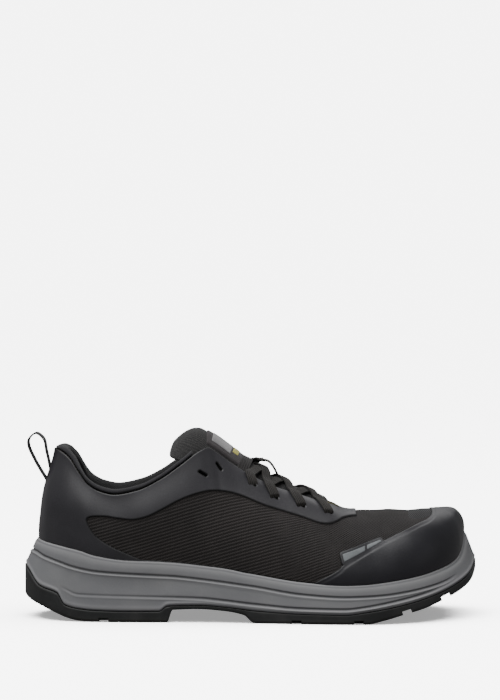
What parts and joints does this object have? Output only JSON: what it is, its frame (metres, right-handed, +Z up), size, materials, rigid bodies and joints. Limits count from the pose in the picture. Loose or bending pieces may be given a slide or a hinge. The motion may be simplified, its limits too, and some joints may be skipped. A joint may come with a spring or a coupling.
{
  "type": "work shoe",
  "caption": "Low black safety trainer: ribbed mesh upper, smooth overlays and toe cap, padded collar and tongue, flat laces, pull loop and grooved two-part sole.",
  "frame": {"origin": "on the ground, under the middle of the sole's length and breadth", "axes": "+X towards the toe, +Z up, -Y towards the outer side of the foot"},
  "size_m": [0.3, 0.1106, 0.1245],
  "materials": {
    "outsole_rubber": "matt",
    "midsole_foam": "matt",
    "insole_fabric": "matt",
    "upper_mesh": "ribbed",
    "quarter_film": "satin",
    "toe_cap_skin": "satin",
    "reflective_tape": "reflective",
    "collar_lining": "matt",
    "tongue_fabric": "matt",
    "tongue_label": "matt",
    "webbing": "ribbed",
    "lace_cord": "ribbed",
    "pull_webbing": "ribbed"
  },
  "bodies": {
    "root": {"outsole": "outsole_rubber", "midsole": "midsole_foam", "insole": "insole_fabric", "upper": "upper_mesh", "quarter_film": "quarter_film", "toe_cap": "toe_cap_skin", "reflector_outer": "reflective_tape", "reflector_inner": "reflective_tape", "collar": "collar_lining", "tongue": "tongue_fabric", "tongue_label": "tongue_label", "lace_keeper": "webbing", "laces": "lace_cord", "lace_bow": "lace_cord", "pull_loop": "pull_webbing"}
  },
  "joints": []
}
